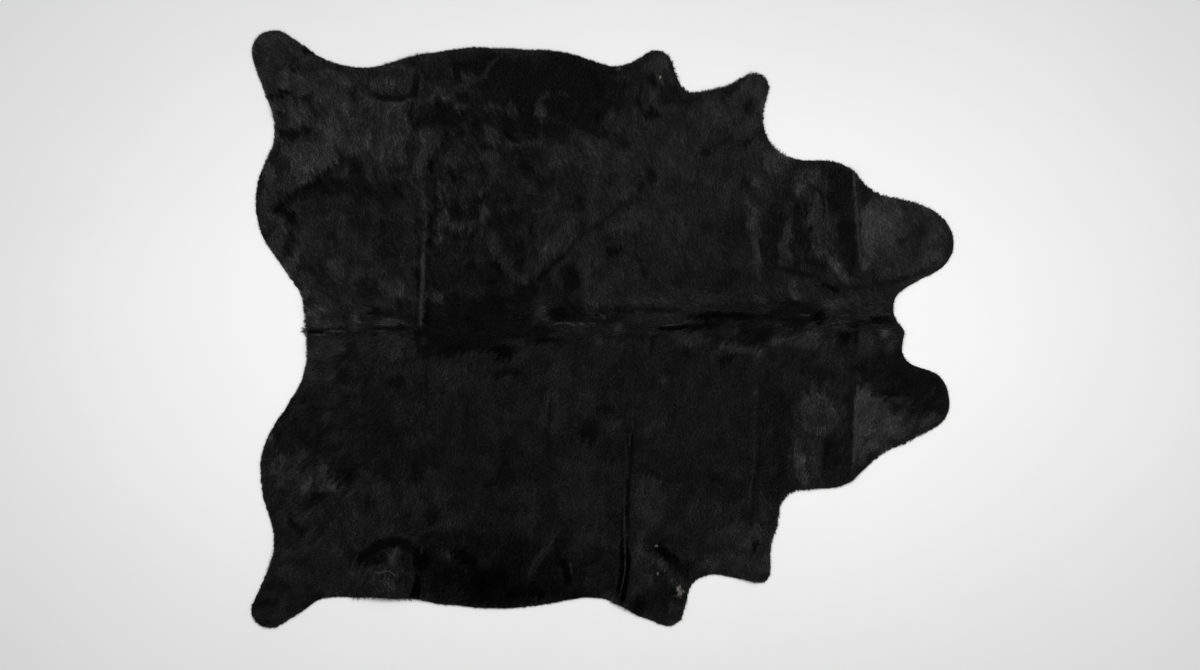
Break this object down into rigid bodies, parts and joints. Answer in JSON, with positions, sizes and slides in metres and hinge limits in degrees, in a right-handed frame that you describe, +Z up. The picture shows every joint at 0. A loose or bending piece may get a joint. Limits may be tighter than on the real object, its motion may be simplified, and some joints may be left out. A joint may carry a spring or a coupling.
{
  "type": "cowhide rug",
  "caption": "Whole cowhide floor rug with short black hair, lying flat and hair side up, its hand-cut edge following the legs, belly, neck and tail notch of the hide.",
  "frame": {"origin": "on the floor, under the middle of the hide's bounding box", "axes": "+X from the tail notch towards the neck, +Y towards the animal's left side, +Z up through the hair"},
  "size_m": [2.1056, 1.791, 0.019],
  "materials": {
    "black_hair_on_hide": "dyed black cow hair, short and lying flat, over tanned skin with a suede underside"
  },
  "bodies": {
    "root": {"hide": "black_hair_on_hide"}
  },
  "joints": []
}
